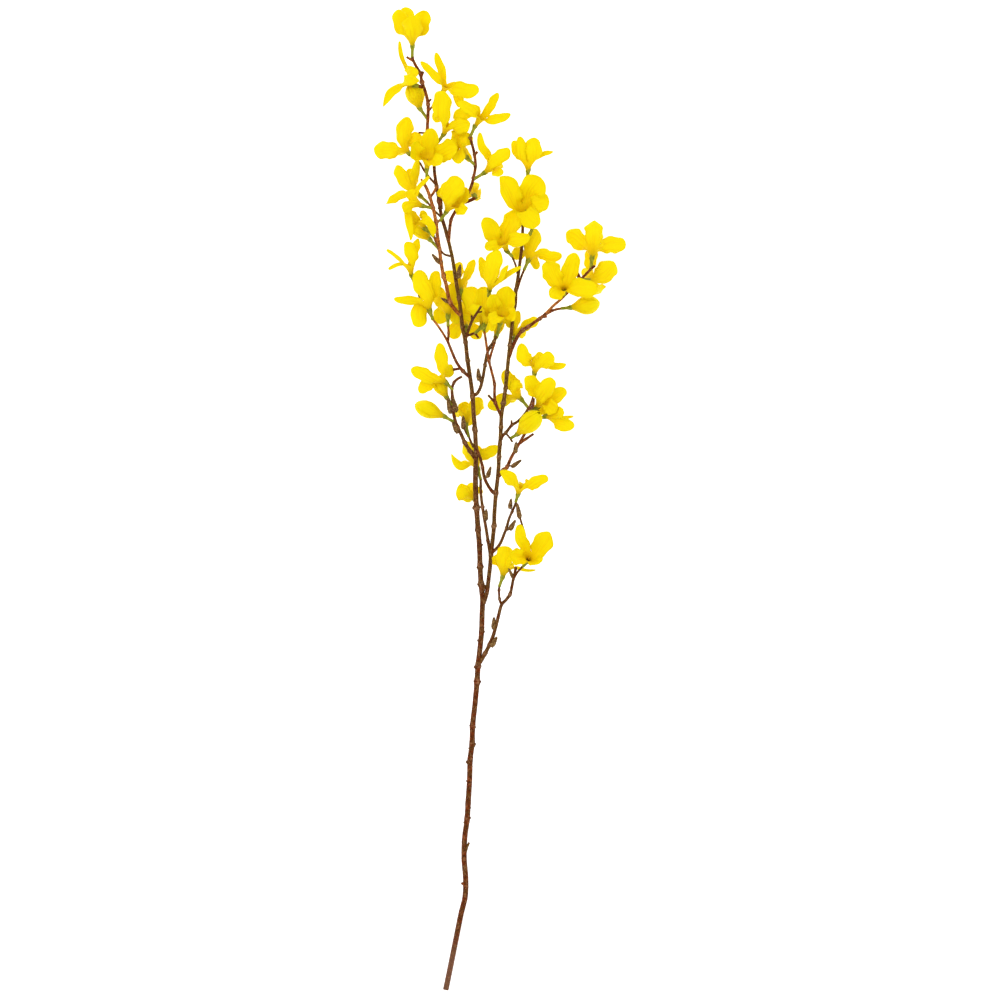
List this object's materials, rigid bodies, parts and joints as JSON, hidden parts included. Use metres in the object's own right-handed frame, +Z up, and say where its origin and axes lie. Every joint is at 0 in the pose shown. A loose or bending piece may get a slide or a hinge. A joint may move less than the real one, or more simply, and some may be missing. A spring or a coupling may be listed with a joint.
{
  "type": "flowering forsythia branch",
  "caption": "Cut branch of forsythia lying down, with yellow four-petalled blooms on short green stalks along bare brown stems and winter buds",
  "frame": {"origin": "middle of the branch's outline seen from above, on the surface that it lies on", "axes": "+Y from the cut end to the tip, +X across the branch, +Z up from the surface"},
  "size_m": [0.2524, 0.986, 0.0789],
  "materials": {
    "bark": "matte",
    "petals": "matte"
  },
  "bodies": {
    "root": {"wood": "bark", "bloom_01": "petals", "bloom_02": "petals", "bloom_03": "petals", "bloom_04": "petals", "bloom_05": "petals", "bloom_06": "petals", "bloom_07": "petals", "bloom_08": "petals", "bloom_09": "petals", "bloom_10": "petals", "bloom_11": "petals", "bloom_12": "petals", "bloom_13": "petals", "bloom_14": "petals", "bloom_15": "petals", "bloom_16": "petals", "bloom_17": "petals", "bloom_18": "petals", "bloom_19": "petals", "bloom_20": "petals", "bloom_21": "petals", "bloom_22": "petals", "bloom_23": "petals", "bloom_24": "petals", "bloom_25": "petals", "bloom_26": "petals", "bloom_27": "petals", "bloom_28": "petals", "bloom_29": "petals", "bloom_30": "petals", "bloom_31": "petals", "bloom_32": "petals", "bloom_33": "petals", "bloom_34": "petals", "bloom_35": "petals", "bloom_36": "petals", "bloom_37": "petals", "bloom_38": "petals", "bloom_39": "petals", "bloom_40": "petals", "bloom_41": "petals", "bloom_42": "petals", "bloom_43": "petals", "bloom_44": "petals", "bloom_45": "petals", "bloom_46": "petals", "bloom_47": "petals", "bloom_48": "petals", "bloom_49": "petals"}
  },
  "joints": []
}
